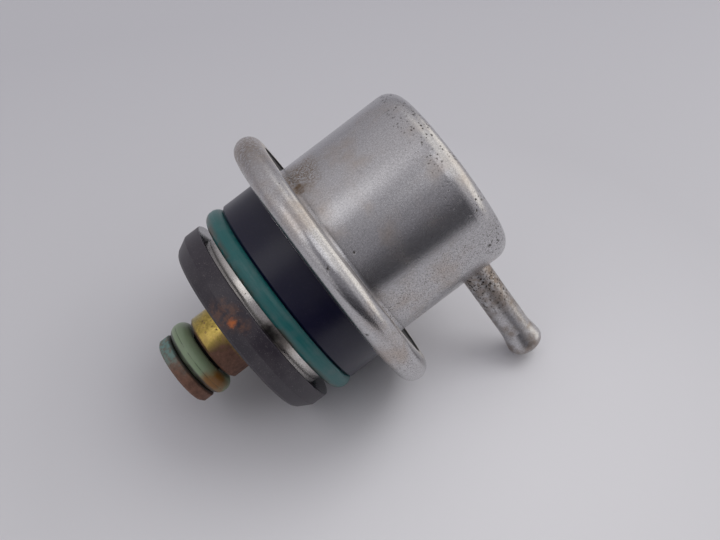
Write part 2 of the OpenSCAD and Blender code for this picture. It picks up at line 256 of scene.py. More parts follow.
def pits(tree, place, spacing, radius, share):
    """Small ragged pits at a spacing in millimetres; share is how many of the places hold a pit."""
    ragged = add(tree, "TexNoise", {"Vector": place, "Scale": 1 / (0.9 * radius), "Detail": 1.0})
    shifted = add(tree, "VectorMath", {0: ragged.outputs["Color"], 1: (1.6 * radius,) * 3, 2: place},
                  operation="MULTIPLY_ADD")
    cells = add(tree, "TexVoronoi", {"Vector": shifted, "Scale": 1 / spacing})
    lot = add(tree, "SeparateColor", {0: cells.outputs["Color"]})
    chosen = add(tree, "Math", {0: lot.outputs["Red"], 1: share}, operation="LESS_THAN")
    reach = add(tree, "Math", {0: lot.outputs["Green"], 1: 0.7 * radius / spacing,
                               2: 0.4 * radius / spacing}, operation="MULTIPLY_ADD")
    depth = add(tree, "Math", {0: cells.outputs["Distance"], 1: reach}, operation="DIVIDE")
    inside = add(tree, "MapRange", {"Value": depth, "From Min": 1.0, "From Max": 0.5},
                 interpolation_type="SMOOTHSTEP")
    return add(tree, "Math", {0: chosen, 1: inside}, operation="MULTIPLY")


def spot(tree, place, centre, radius, ragged):
    """One ragged stain round a centre, both in millimetres."""
    noise = add(tree, "TexNoise", {"Vector": place, "Scale": 2.2 / radius, "Detail": 5.0})
    reach = add(tree, "VectorMath", {0: place, 1: centre}, operation="DISTANCE")
    uneven = add(tree, "Math", {0: noise, 1: 2 * ragged * radius, 2: reach.outputs["Value"]},
                 operation="MULTIPLY_ADD")
    edge = radius * (1 + ragged)
    return add(tree, "MapRange", {"Value": uneven, "From Min": edge, "From Max": 0.45 * edge},
               interpolation_type="SMOOTHSTEP")


def stains(tree, place, marks, ragged):
    """Several ragged stains, each given as its centre and radius in millimetres."""
    mask = 0.0
    for centre, radius in marks:
        mask = add(tree, "Math", {0: mask, 1: spot(tree, place, centre, radius, ragged)},
                   operation="MAXIMUM")
    return mask


def on_round(along, radius, across):
    """Point in millimetres on a round surface, at a distance across the picture from the axis."""
    turn = math.radians(FACING_DEG) + math.asin(across / radius)
    return (along, -radius * math.sin(turn), radius * math.cos(turn))


# Finishes

def satin_steel(tree, place, colours, rough, pit_mask, stain_mask, speckle_mask, dirt_and_shade_mask, painted_highlight_mask=0.0):
    """Drawn and tumbled steel: a blurred sheen, visible grain, soft tints, pits, specks, stains, dirt with
    painted shade, and a painted highlight.
    """
    tint = blotches(tree, place, 5.0, 0.47, 0.8)
    grain = add(tree, "TexNoise",
                {"Vector": place, "Scale": 1 / STEEL_GRAIN_MM, "Detail": 2.0, "Roughness": 0.6})
    clean = add(tree, "Mix", {"Factor": tint, "A": tuple(colours.steel), "B": tuple(colours.steel_warm)},
                data_type="RGBA")
    shade = add(tree, "MapRange",
                {"Value": grain, "From Min": 0.25, "From Max": 0.75, "To Min": 0.74, "To Max": 1.16})
    grained = add(tree, "VectorMath", {0: clean, "Scale": shade}, operation="SCALE")
    # Painted highlight where its mask says
    with_painted_highlight = add(tree, "Mix", {"Factor": painted_highlight_mask, "A": grained, "B": tuple(colours.painted_highlight)},
                   data_type="RGBA")
    stained = add(tree, "Mix", {"Factor": stain_mask, "A": with_painted_highlight, "B": tuple(colours.stain)},
                  data_type="RGBA")
    specks = add(tree, "Math", {0: speckle_mask, 1: blotches(tree, place, STEEL_SPECK_MM, 0.45, 0.75, 3.0)},
                 operation="MULTIPLY")
    specked = add(tree, "Mix", {"Factor": specks, "A": stained, "B": tuple(colours.speck)},
                  data_type="RGBA")
    pitted = add(tree, "Mix", {"Factor": pit_mask, "A": specked, "B": tuple(colours.pit)}, data_type="RGBA")
    # Darkens with dirt and painted shade where its mask says
    darkened = add(tree, "Mix", {"Factor": dirt_and_shade_mask, "A": pitted, "B": tuple(colours.grime_and_shade)},
                data_type="RGBA")
    cover = add(tree, "Math", {0: stain_mask, 1: 0.55, 2: dirt_and_shade_mask}, operation="MULTIPLY_ADD",
                use_clamp=True)
    bare = add(tree, "Math", {0: 1.0, 1: cover}, operation="SUBTRACT")
    mixed = add(tree, "Math", {0: tint, 1: cover}, use_clamp=True)
    gloss = add(tree, "MapRange", {"Value": mixed, "To Min": rough, "To Max": rough + 0.12})
    relief = add(tree, "Math", {0: pit_mask, 1: -5.0, 2: grain}, operation="MULTIPLY_ADD")
    bump = add(tree, "Bump", {"Height": relief, "Strength": 0.45, "Distance": 0.015 * MM})
    shader = add(tree, "BsdfPrincipled",
                 {"Base Color": darkened, "Metallic": bare, "Roughness": gloss, "Normal": bump})
    add(tree, "OutputMaterial", {"Surface": shader})


def cup_finish(colours):
    """Deep-drawn stainless cup: pits by its top corner, specks on its lower side, brown film at its foot."""
    material, tree, place = new_finish("drawn_stainless_cup")
    along, radius, turn = round_place(tree, place)
    corner = add(tree, "MapRange", {"Value": along, "From Min": 15.0, "From Max": 18.0})
    worn = add(tree, "Math", {0: corner, 1: blotches(tree, place, 3.2, 0.4, 0.57)}, operation="MULTIPLY")
    eaten = spot(tree, place, (19.2, 1.4, 10.8), 4.0, 0.5)
    pitted = add(tree, "Math", {0: worn, 1: eaten}, operation="MAXIMUM")
    corner_pits = add(tree, "Math", {0: pitted, 1: pits(tree, place, 0.38, 0.17, 0.65)},
                      operation="MULTIPLY")
    few_pits = add(tree, "Math", {0: corner_pits, 1: pits(tree, place, 1.7, 0.11, 0.25)},
                   operation="MAXIMUM")
    marks = stains(tree, place, (((4.6, -7.7, 8.87), 0.22), ((17.1, -11.75, -0.03), 0.4)), 0.7)
    pit_mask = add(tree, "Math", {0: few_pits, 1: marks}, operation="MAXIMUM")
    foot = spot(tree, place, on_round(4.6, 11.75, -9.6), 4.4, 0.5)
    mottled = add(tree, "Math", {0: foot, 1: blotches(tree, place, 0.22, 0.33, 0.62)}, operation="MULTIPLY")
    amber = spot(tree, place, on_round(3.9, 11.75, -8.2), 1.5, 0.9)
    film = add(tree, "Math", {0: mottled, 1: 0.85}, operation="MULTIPLY")
    stain = add(tree, "Math", {0: film, 1: amber}, operation="MAXIMUM")
    low_side = add(tree, "MapRange",
                   {"Value": turn, "From Min": 0.5, "From Max": 0.8, "To Min": 0.15, "To Max": 0.95})
    # Dirt and painted shade in the crimp, on the cup's flange under the lip
    crimp_dirt_and_shade = add(tree, "MapRange", {"Value": radius, "From Min": 13.8, "From Max": 14.7, "To Max": 0.85})
    satin_steel(tree, place, colours, rough=0.25, pit_mask=pit_mask, stain_mask=stain,
                speckle_mask=low_side, dirt_and_shade_mask=crimp_dirt_and_shade)
    return material


def rim_finish(colours):
    """Rolled rim and spigot: satin steel with a few pits, dirt and painted shade along the lip's cut edge, a
    dark patch on the spigot, and a painted highlight on the lip and the spigot.
    """
    material, tree, place = new_finish("rolled_steel_rim")
    along, radius, turn = round_place(tree, place)
    marks = stains(tree, place, (((1.61, -10.85, 13.71), 0.34), ((0.54, -15.63, 6.7), 0.26)), 0.9)
    pit_mask = add(tree, "Math", {0: marks, 1: pits(tree, place, 1.3, 0.13, 0.3)}, operation="MAXIMUM")
    dull = spot(tree, place, on_round(1.0, 17.4, -16.6), 11.0, 0.3)
    mottled = add(tree, "Math", {0: dull, 1: blotches(tree, place, 0.35, 0.25, 0.6)}, operation="MULTIPLY")
    film = add(tree, "Math", {0: blotches(tree, place, 3.0, 0.6, 0.8), 1: 0.35}, operation="MULTIPLY")
    tinted = add(tree, "Math", {0: film, 1: mottled}, operation="MAXIMUM")
    stain = add(tree, "Math", {0: tinted, 1: 0.7}, operation="MULTIPLY")
    # Dirt and painted shade on the lip's cut edge, which faces inwards into the crimp
    inward = add(tree, "MapRange", {"Value": radius, "From Min": 15.2, "From Max": 14.95})
    above = add(tree, "Math", {0: along, 1: 2.3}, operation="GREATER_THAN")
    cut_edge = add(tree, "Math", {0: inward, 1: above}, operation="MULTIPLY")
    dark_patch = spot(tree, place, on_round(-8.6, 10.6, 2.7), 2.0, 0.4)
    # Dark marks: dirt and painted shade on the cut edge, and the dark patch on the spigot
    dirt = add(tree, "Math", {0: cut_edge, 1: dark_patch}, operation="MAXIMUM")
    # Painted highlight on the lip's top and, fainter, on the spigot
    on_lip = add(tree, "MapRange", {"Value": radius, "From Min": 16.2, "From Max": 15.6})
    lip = add(tree, "Math", {0: on_lip, 1: above}, operation="MULTIPLY")
    on_spigot = add(tree, "MapRange", {"Value": radius, "From Min": 10.9, "From Max": 10.5, "To Max": 0.3})
    painted_highlight = add(tree, "Math", {0: on_spigot, 1: lip}, operation="MAXIMUM")
    low_side = add(tree, "MapRange",
                   {"Value": turn, "From Min": 0.55, "From Max": 0.95, "To Min": 0.25, "To Max": 0.9})
    satin_steel(tree, place, colours, rough=0.21, pit_mask=pit_mask, stain_mask=stain,
                speckle_mask=low_side, dirt_and_shade_mask=dirt, painted_highlight_mask=painted_highlight)
    return material


def nipple_finish(colours):
    """Drawn steel tube, eaten into dark and cream specks near its root."""
    material, tree, place = new_finish("corroded_steel_tube")
    near_root = spot(tree, place, (14.7, -7.6, -12.2), 6.5, 0.4)
    eaten = add(tree, "Math", {0: near_root, 1: pits(tree, place, 0.3, 0.2, 0.6)}, operation="MULTIPLY")
    pit_mask = add(tree, "Math", {0: eaten, 1: pits(tree, place, 1.4, 0.14, 0.25)}, operation="MAXIMUM")
    patchy = add(tree, "Math", {0: near_root, 1: blotches(tree, place, 0.5, 0.4, 0.6)},
                 operation="MULTIPLY")
    tinted = add(tree, "Math", {0: blotches(tree, place, 1.6, 0.4, 0.7), 1: patchy}, operation="MAXIMUM")
    stain = add(tree, "Math", {0: tinted, 1: 0.6}, operation="MULTIPLY")
    satin_steel(tree, place, colours, rough=0.3, pit_mask=pit_mask, stain_mask=stain,
                speckle_mask=0.5, dirt_and_shade_mask=0.0)
    return material


def moulded_finish(name, base, dust, dusty, rough, sheen, rust=None, ledge=None):
    """Moulded black plastic: a faint sheen, a fine skin, settled dust, and a ledge that was worn smooth."""
    material, tree, place = new_finish(name)
    film = blotches(tree, place, 2.4, 0.4, 0.75)
    specks = blotches(tree, place, 0.14, 0.58, 0.72, 3.0)
    both = add(tree, "Math", {0: film, 1: 0.25, 2: specks}, operation="MULTIPLY_ADD")
    cover = add(tree, "Math", {0: both, 1: dusty}, operation="MULTIPLY", use_clamp=True)
    colour = add(tree, "Mix", {"Factor": cover, "A": base, "B": dust}, data_type="RGBA")
    if rust:
        halo = stains(tree, place, rust["halo"], 0.6)
        streaks = add(tree, "Math", {0: halo, 1: blotches(tree, place, 0.7, 0.35, 0.65)},
                      operation="MULTIPLY")
        faint = add(tree, "Math", {0: streaks, 1: 0.7}, operation="MULTIPLY")
        brown = add(tree, "Mix", {"Factor": faint, "A": colour, "B": rust["brown"]}, data_type="RGBA")
        core = stains(tree, place, rust["core"], 0.7)
        colour = add(tree, "Mix", {"Factor": core, "A": brown, "B": rust["orange"]}, data_type="RGBA")
    gloss = add(tree, "MapRange", {"Value": cover, "To Min": rough, "To Max": 0.9})
    if ledge:
        along = add(tree, "SeparateXYZ", {0: place}).outputs["X"]
        worn = add(tree, "MapRange", {"Value": along, "From Min": ledge - 0.1, "From Max": ledge - 0.02})
        gloss = add(tree, "MapRange", {"Value": worn, "To Min": gloss, "To Max": 0.05})
    skin = add(tree, "TexNoise", {"Vector": place, "Scale": 1 / PLASTIC_SKIN_MM, "Detail": 2.0})
    bump = add(tree, "Bump", {"Height": skin, "Strength": 0.35, "Distance": 0.01 * MM})
    shader = add(tree, "BsdfPrincipled",
                 {"Base Color": colour, "Roughness": gloss, "Specular IOR Level": sheen, "Normal": bump})
    add(tree, "OutputMaterial", {"Surface": shader})
    return material


def brass_finish(colours):
    """Turned brass: bare on its upper side, brown with tarnish and painted shade towards its lower side, with
    a crusted end collar and painted shade in the seal's groove.
    """
    material, tree, place = new_finish("tarnished_brass")
    along, _, turn = round_place(tree, place)
    # Brown tarnish and painted shade, growing towards the lower side
    patchy = add(tree, "TexNoise", {"Vector": place, "Scale": 1 / 1.2, "Detail": 5.0})
    uneven = add(tree, "Math", {0: patchy, 1: 1.1, 2: turn}, operation="MULTIPLY_ADD")
    shaded = add(tree, "MapRange", {"Value": uneven, "From Min": 0.2, "From Max": 0.85},
                 interpolation_type="SMOOTHSTEP")
    # Less brown at the end towards the strainer
    away_from_strainer = add(tree, "MapRange",
                {"Value": along, "From Min": -12.8, "From Max": -13.5, "To Min": 0.2, "To Max": 1.0})
    body = add(tree, "Math", {0: shaded, 1: away_from_strainer}, operation="MULTIPLY")
    collar = add(tree, "MapRange", {"Value": along, "From Min": -15.5, "From Max": -15.9})
    brown = add(tree, "Math", {0: body, 1: collar}, operation="MAXIMUM")
    pocked = spot(tree, place, (-14.3, 0.2, 4.25), 1.5, 0.5)
    cluster = add(tree, "Math", {0: pocked, 1: pits(tree, place, 0.42, 0.2, 0.6)}, operation="MULTIPLY")
    dots = add(tree, "Math", {0: cluster, 1: pits(tree, place, 0.9, 0.2, 0.3)}, operation="MAXIMUM")
    dark = add(tree, "Math", {0: brown, 1: dots}, operation="MAXIMUM")
    grain = add(tree, "TexNoise", {"Vector": place, "Scale": 1 / 0.6, "Detail": 6.0, "Roughness": 0.75})
    shade = add(tree, "MapRange",
                {"Value": grain, "From Min": 0.3, "From Max": 0.7, "To Min": 0.55, "To Max": 1.45})
    mixed = add(tree, "Mix", {"Factor": dark, "A": tuple(colours.brass), "B": tuple(colours.tarnish)},
                data_type="RGBA")
    colour = add(tree, "VectorMath", {0: mixed, "Scale": shade}, operation="SCALE")
    salts = spot(tree, place, on_round(-19.9, 4.4, -4.0), 6.2, 0.5)
    mottle = add(tree, "MapRange",
                 {"Value": blotches(tree, place, 0.45, 0.35, 0.62), "To Min": 0.35, "To Max": 0.95})
    green = add(tree, "Math", {0: salts, 1: mottle}, operation="MULTIPLY")
    crusted = add(tree, "Mix", {"Factor": green, "A": colour, "B": tuple(colours.verdigris)},
                  data_type="RGBA")
    # Painted shade in the seal's groove, showing as a dark gap by the collar
    low, high = (PER_METRE_TO_MM * corner.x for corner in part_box("return_seal"))
    past_collar = add(tree, "MapRange", {"Value": along, "From Min": low - 0.3, "From Max": low - 0.05})
    before_body = add(tree, "MapRange", {"Value": along, "From Min": high + 0.5, "From Max": high + 0.3})
    groove_shade = add(tree, "Math", {0: past_collar, 1: before_body}, operation="MULTIPLY")
    darkened = add(tree, "Mix", {"Factor": groove_shade, "A": crusted, "B": tuple(colours.groove_painted_shade)},
                data_type="RGBA")
    bare = add(tree, "MapRange", {"Value": dark, "To Min": 1.0, "To Max": 0.25})
    gloss = add(tree, "MapRange", {"Value": dark, "To Min": 0.3, "To Max": 0.62})
    crust = add(tree, "TexNoise", {"Vector": place, "Scale": 1 / BRASS_CRUST_MM, "Detail": 4.0})
    height = add(tree, "Math", {0: crust, 1: dark}, operation="MULTIPLY")
    bump = add(tree, "Bump", {"Height": height, "Strength": 0.6, "Distance": 0.03 * MM})
    shader = add(tree, "BsdfPrincipled",
                 {"Base Color": darkened, "Metallic": bare, "Roughness": gloss, "Normal": bump})
    add(tree, "OutputMaterial", {"Surface": shader})
    return material


def rubber_finish(name, base, dust, dusty, stain=None, parting=None, flank=None):
    """Moulded fluorocarbon rubber: a soft sheen, bloom, dust, dirt in its parting line, and painted shade on
    a flank, brown with dirt on the rail seal.
    """
    material, tree, place = new_finish(name)
    along = add(tree, "SeparateXYZ", {0: place}).outputs["X"]
    film = blotches(tree, place, 1.6, 0.42, 0.78)
    cover = add(tree, "Math", {0: film, 1: dusty}, operation="MULTIPLY")
    colour = add(tree, "Mix", {"Factor": cover, "A": base, "B": dust}, data_type="RGBA")
    if stain:
        mask = stains(tree, place, stain["marks"], 0.5)
        colour = add(tree, "Mix", {"Factor": mask, "A": colour, "B": stain["colour"]}, data_type="RGBA")
    if parting:
        seam = add(tree, "Math", {0: along, 1: parting["along"], 2: 0.05}, operation="COMPARE")
        broken = add(tree, "Math", {0: seam, 1: blotches(tree, place, 0.9, 0.35, 0.6)},
                     operation="MULTIPLY")
        line = add(tree, "Math", {0: broken, 1: 0.55}, operation="MULTIPLY")
        colour = add(tree, "Mix", {"Factor": line, "A": colour, "B": parting["colour"]}, data_type="RGBA")
    if flank:
        # Painted shade on one flank, in the flank's colour
        toward_flank = add(tree, "MapRange", {"Value": along, "From Min": flank["thin"],
                                        "From Max": flank["thick"]}, interpolation_type="SMOOTHSTEP")
        patchy = add(tree, "MapRange", {"Value": blotches(tree, place, 1.5, 0.38, 0.6),
                                        "To Min": flank["least"], "To Max": flank["most"]})
        dirt = add(tree, "Math", {0: toward_flank, 1: patchy}, operation="MULTIPLY")
        colour = add(tree, "Mix", {"Factor": dirt, "A": colour, "B": flank["colour"]}, data_type="RGBA")
    gloss = add(tree, "MapRange", {"Value": cover, "To Min": 0.34, "To Max": 0.8})
    skin = add(tree, "TexNoise", {"Vector": place, "Scale": 1 / RUBBER_SKIN_MM, "Detail": 3.0})
    bump = add(tree, "Bump", {"Height": skin, "Strength": 0.3, "Distance": 0.015 * MM})
    shader = add(tree, "BsdfPrincipled", {"Base Color": colour, "Roughness": gloss, "Normal": bump})
    add(tree, "OutputMaterial", {"Surface": shader})
    return material


def plain_metal(name, base, rough, scratch_mm):
    """Inner metal piece: one colour with the fine marks that turning, plating or drawing leave."""
    material, tree, place = new_finish(name)
    marks = add(tree, "TexNoise", {"Vector": place, "Scale": 1 / scratch_mm, "Detail": 3.0})
    gloss = add(tree, "MapRange", {"Value": marks, "To Min": rough - 0.08, "To Max": rough + 0.08})
    shade = add(tree, "MapRange", {"Value": marks, "To Min": 0.88, "To Max": 1.08})
    colour = add(tree, "VectorMath", {0: tuple(base)[:3], "Scale": shade}, operation="SCALE")
    bump = add(tree, "Bump", {"Height": marks, "Strength": 0.3, "Distance": 0.01 * MM})
    shader = add(tree, "BsdfPrincipled",
                 {"Base Color": colour, "Metallic": 1.0, "Roughness": gloss, "Normal": bump})
    add(tree, "OutputMaterial", {"Surface": shader})
    return material


# Modelling helpers

def deselect_all():
    if bpy.context.object and bpy.context.object.mode != "OBJECT":
        bpy.ops.object.mode_set(mode="OBJECT")
    bpy.ops.object.select_all(action="DESELECT")


def select_edges(piece, wanted):
    """In edit mode, selects only the edges that a test accepts."""
    mesh = bmesh.from_edit_mesh(piece.data)
    for face in mesh.faces:
        face.select_set(False)
    for edge in mesh.edges:
        edge.select_set(wanted(edge))
    bmesh.update_edit_mesh(piece.data)


def apply_modifiers(piece):
    for modifier in list(piece.modifiers):
        bpy.ops.object.modifier_apply(modifier=modifier.name)


def finish_piece(piece, name, node, material, smooth_deg=40.0):
    """Names a modelled piece, dresses it and lets it stand for a CAD node on the housing."""
    piece.name = piece.data.name = name
    bpy.ops.object.transform_apply(location=True, rotation=True, scale=True)
    bpy.ops.object.shade_smooth_by_angle(angle=math.radians(smooth_deg))
    piece.data.materials.clear()
    piece.data.materials.append(material)
    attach(piece, "housing")
    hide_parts(node)


def dress(node, material):
    """Gives a CAD node its finish."""
    slots = frame["nodes"][node].material_slots
    for slot in slots:
        slot.material = material


def ring_seal(node, sizes, press=0.0, lean=0.0):
    """Models an O-ring: a moulding line, an uneven lie, a lean, and a flat where it is pressed."""
    low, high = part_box(node)
    cord_r = (high.x - low.x) / 2
    ring_r = high.z - cord_r
    middle = (low.x + high.x) / 2
    deselect_all()
    bpy.ops.mesh.primitive_torus_add(
        major_segments=180, minor_segments=40, major_radius=ring_r, minor_radius=cord_r,
        location=(middle, 0, 0), rotation=(0, math.pi / 2, 0))
    piece = bpy.context.object
    bpy.ops.object.transform_apply(location=True, rotation=True)
    tolerance = 0.01 * MM
    outside = ring_r + cord_r - tolerance

    def on_outside(edge):
        return all(math.hypot(v.co.y, v.co.z) > outside for v in edge.verts)

    bpy.ops.object.mode_set(mode="EDIT")
    bpy.ops.mesh.select_mode(type="EDGE")
    select_edges(piece, on_outside)
    bpy.ops.mesh.bevel(offset=sizes.flash_width, segments=4, profile=0.5)
    bpy.ops.mesh.select_less()
    bpy.ops.transform.shrink_fatten(value=-sizes.flash_height)
    bpy.ops.object.mode_set(mode="OBJECT")
    lie = piece.modifiers.new("lie", "DISPLACE")
    lie.texture = bpy.data.textures.new(node + "_lie", "CLOUDS")
    lie.texture.noise_scale = 4 * ring_r / 5
    lie.direction = "X"
    lie.strength = sizes.seal_waviness
    apply_modifiers(piece)
    facing = math.radians(FACING_DEG)
    all_round = 0.3
    front = Vector((0, -math.sin(facing), math.cos(facing))) / ring_r
    side = Vector((0, -math.cos(facing), -math.sin(facing))) / ring_r
    for vertex in piece.data.vertices:
        slip = press * (all_round + (1 - all_round) * front.dot(vertex.co)) + lean * side.dot(vertex.co)
        vertex.co.x = min(vertex.co.x + slip, high.x)
    return piece


# Operators

class REGULATOR_OT_stage(bpy.types.Operator):
    """Sets the camera, the pale floor that the part lies on, and soft studio light"""
    bl_idname = "regulator.stage"
    bl_label = "Stage"

    def execute(self, context):
        scene = context.scene
        self.add_camera(scene)
        up = self.resting_floor(scene)
        self.add_light(scene, up)
        scene.view_settings.view_transform = "Standard"
        return {"FINISHED"}

    def add_camera(self, scene):
        shot = scene.regulator_camera
        data = bpy.data.cameras.new("camera")
        data.sensor_width = SENSOR_WIDTH_MM
        data.lens = shot.focal_px * SENSOR_WIDTH_MM / PHOTO_WIDTH
        data.clip_start = 1 * MM
        camera = bpy.data.objects.new("camera", data)
        scene.collection.objects.link(camera)
        level = math.cos(shot.elevation)
        back = Vector((
            math.sin(shot.azimuth) * level, -math.cos(shot.azimuth) * level, math.sin(shot.elevation)))
        camera.rotation_mode = "QUATERNION"
        camera.location = Vector(shot.target) + back * shot.distance
        camera.rotation_quaternion = (-back).to_track_quat("-Z", "Y") @ Quaternion((0, 0, 1), shot.roll)
        scene.camera = camera

    def resting_floor(self, scene):
        """Lays the floor at the slope on which the flange and the strainer both touch it."""
        def lowest(node, slope):
            up = Vector((math.sin(slope), 0, math.cos(slope)))
            return min(up.dot(v.co) for v in frame["nodes"][node].data.vertices)

        flat, steep = 0.0, math.radians(45)
        halvings = 40
        for _ in range(halvings):
            slope = (flat + steep) / 2
            if lowest("strainer_frame", slope) > lowest("lower_housing", slope):
                flat = slope
            else:
                steep = slope
        deselect_all()
        bpy.ops.mesh.primitive_circle_add(vertices=96, radius=FLOOR_RADIUS, fill_type="NGON")
        floor = bpy.context.object
        floor.name = "floor"
        up = Vector((math.sin(slope), 0, math.cos(slope)))
        floor.rotation_mode = "QUATERNION"
        floor.rotation_quaternion = up.to_track_quat("Z", "Y")
        floor.location = up * lowest("lower_housing", slope)
        from_picture = floor.rotation_quaternion.inverted() @ scene.camera.rotation_quaternion
        # Right and up in the picture: the way to the viewer, and the middle of the painted patch of light in
        # millimetres
        nearer = from_picture @ Vector((0.2, -0.98, 0))
        beside = from_picture @ Vector((14.0, -10.0, 0))
        floor.data.materials.append(self.floor_finish(scene.regulator_colours, nearer, beside))
        return up

    def floor_finish(self, colours, nearer, beside):
        """Plain pale table top with painted light: lighter towards the viewer and in a painted patch of light
        beside the part, and clear from underneath.
        """
        material, tree, place = new_finish("pale_table_top_painted_light")
        # Painted light gradient across the floor, lighter towards the viewer
        lean = add(tree, "VectorMath", {0: place, 1: nearer}, operation="DOT_PRODUCT")
        share = add(tree, "MapRange", {"Value": lean.outputs["Value"], "From Min": -55.0, "From Max": 40.0})
        colour = add(tree, "Mix", {"Factor": share, "A": tuple(colours.floor_far_painted_shade),
                                   "B": tuple(colours.floor_near_painted_light)}, data_type="RGBA")
        # Painted patch of light beside the part, fading outwards
        reach = add(tree, "VectorMath", {0: place, 1: beside}, operation="DISTANCE")
        painted_light_patch = add(tree, "MapRange",
                   {"Value": reach.outputs["Value"], "From Max": 48.0, "To Min": 1.12, "To Max": 0.9})
        painted_patch_colour = add(tree, "VectorMath", {0: colour, "Scale": painted_light_patch}, operation="SCALE")
        top = add(tree, "BsdfPrincipled", {"Base Color": painted_patch_colour, "Roughness": 0.7})
        clear = add(tree, "BsdfTransparent")
        side = add(tree, "NewGeometry")
        either = add(tree, "MixShader", {0: side.outputs["Backfacing"], 1: top, 2: clear})
        add(tree, "OutputMaterial", {"Surface": either})
        return material

    def add_soft_box(self, scene, name, towards, size, watts):
        data = bpy.data.lights.new(name, "AREA")
        data.shape = "DISK"
        data.size = size
        data.energy = watts
        lamp = bpy.data.objects.new(name, data)
        lamp.location = towards.normalized() * LAMP_DISTANCE
        lamp.rotation_mode = "QUATERNION"
        lamp.rotation_quaternion = towards.to_track_quat("Z", "Y")
        scene.collection.objects.link(lamp)
        return lamp

    def add_dark_card(self, up, viewer):
        """A low card of matt black paper at the viewer's side, which only reflections in the part show."""
        deselect_all()
        bpy.ops.mesh.primitive_plane_add(size=1.0)
        card = bpy.context.object
        card.name = "dark_card"
        floor = bpy.data.objects["floor"]
        card.scale = (CARD_WIDTH, CARD_HEIGHT, 1)
        card.rotation_mode = "QUATERNION"
        card.rotation_quaternion = Matrix((up.cross(viewer), up, -viewer)).transposed().to_quaternion()
        aside = viewer.cross(up)
        card.location = floor.location + viewer * CARD_DISTANCE + up * CARD_HEIGHT / 2 + aside * CARD_SHIFT
        card.visible_camera = card.visible_diffuse = card.visible_shadow = False
        material, tree, _ = new_finish("matt_black_paper")
        shader = add(tree, "BsdfPrincipled", {"Base Color": (0.01, 0.01, 0.02, 1), "Roughness": 0.9})
        add(tree, "OutputMaterial", {"Surface": shader})
        card.data.materials.append(material)

    def add_light(self, scene, up):
        """A bright room with a window at the right, three weak lamps, and a dark card for the reflections."""
        left = Vector((-up.z, 0, up.x))
        viewer = Vector((0, -1, 0))
        key = left * 0.6 + up * 0.8
        near = viewer * 0.42 - left * 0.05 + up * 0.9
        fill = up - left * 0.7
        self.add_soft_box(scene, "soft_box", key, KEY_LAMP_SIZE, watts=0.11)
        self.add_soft_box(scene, "near_box", near, LAMP_SIZE, watts=0.13)
        self.add_soft_box(scene, "floor_fill", fill, LAMP_SIZE, watts=0.46).visible_glossy = False
        self.add_dark_card(up, viewer)

        world = bpy.data.worlds.new("studio")
        world.use_nodes = True
        tree = world.node_tree
        tree.nodes.clear()
        heading = add(tree, "TexCoord").outputs["Generated"]
        rise, far, side = (
            add(tree, "VectorMath", {0: heading, 1: axis}, operation="DOT_PRODUCT").outputs["Value"]
            for axis in (up, -viewer, left))
        arch = add(tree, "Math", {0: rise, 1: far}, operation="ARCTAN2")
        share = add(tree, "Math", {0: arch, 1: 1 / math.pi}, operation="MULTIPLY")
        tones = []
        for place, stops in ((share, OVERHEAD_TONES), (rise, LEFT_TONES), (rise, RIGHT_TONES)):
            ramp = add(tree, "ValToRGB", {0: place})
            while len(ramp.color_ramp.elements) < len(stops):
                ramp.color_ramp.elements.new(1.0)
            for element, (position, level) in zip(ramp.color_ramp.elements, stops):
                element.position = position
                element.color = room_tone(level)
            tones.append(ramp.outputs["Color"])
        overhead, left_tone, right_tone = tones
        towards_left = add(tree, "MapRange", {"Value": side, "From Min": 0.6, "From Max": 0.8})
        towards_right = add(tree, "MapRange", {"Value": side, "From Min": -0.15, "From Max": -0.45})
        room = add(tree, "Mix", {"Factor": towards_left, "A": overhead, "B": left_tone}, data_type="RGBA")
        room = add(tree, "Mix", {"Factor": towards_right, "A": room, "B": right_tone}, data_type="RGBA")
        at_window = add(tree, "MapRange", {"Value": side, "From Min": -0.72, "From Max": -0.86})
        room = add(tree, "Mix", {"Factor": at_window, "A": room, "B": WINDOW_COLOUR}, data_type="RGBA")
        seen = add(tree, "LightPath").outputs["Is Camera Ray"]
        colour = add(tree, "Mix", {"Factor": seen, "A": room, "B": BACKDROP_COLOUR}, data_type="RGBA")
        sky = add(tree, "Background", {"Color": colour, "Strength": 1.0})
        add(tree, "OutputWorld", {"Surface": sky})
        scene.world = world


class REGULATOR_OT_steel(bpy.types.Operator):
    """Finishes the drawn cup, the rolled rim and the vacuum nipple"""
    bl_idname = "regulator.steel"
    bl_label = "Steel housing"

    def execute(self, context):
        colours = context.scene.regulator_colours
        dress("spring_housing", cup_finish(colours))
        dress("lower_housing", rim_finish(colours))
        dress("vacuum_nipple", nipple_finish(colours))
        return {"FINISHED"}


class REGULATOR_OT_plastic(bpy.types.Operator):
    """Finishes the support ring and the strainer's frame"""
    bl_idname = "regulator.plastic"
    bl_label = "Moulded rings"

    def execute(self, context):
        colours = context.scene.regulator_colours
        dust = tuple(colours.dust)
        ledge = PER_METRE_TO_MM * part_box("strainer_frame")[1].x
        rust = {
            "halo": (((-10.6, -5.4, 10.7), 2.6), ((-9.6, -7.4, 9.9), 1.2)),
            "brown": tuple(colours.rust_film),
            "core": (((-10.4, -6.5, 10.35), 0.75),),
            "orange": tuple(colours.rust)}
        support = moulded_finish(
            "moulded_black_nylon", tuple(colours.plastic), dust, dusty=0.06, rough=0.29, sheen=0.44)
        strainer = moulded_finish(
            "aged_black_nylon", tuple(colours.strainer), dust, dusty=0.4, rough=0.4, sheen=0.55,
            rust=rust, ledge=ledge)
        dress("support_ring", support)
        dress("strainer_frame", strainer)
        return {"FINISHED"}


class REGULATOR_OT_brass(bpy.types.Operator):
    """Finishes the return tube"""
    bl_idname = "regulator.brass"
    bl_label = "Return tube"

    def execute(self, context):
        dress("return_tube", brass_finish(context.scene.regulator_colours))
        return {"FINISHED"}


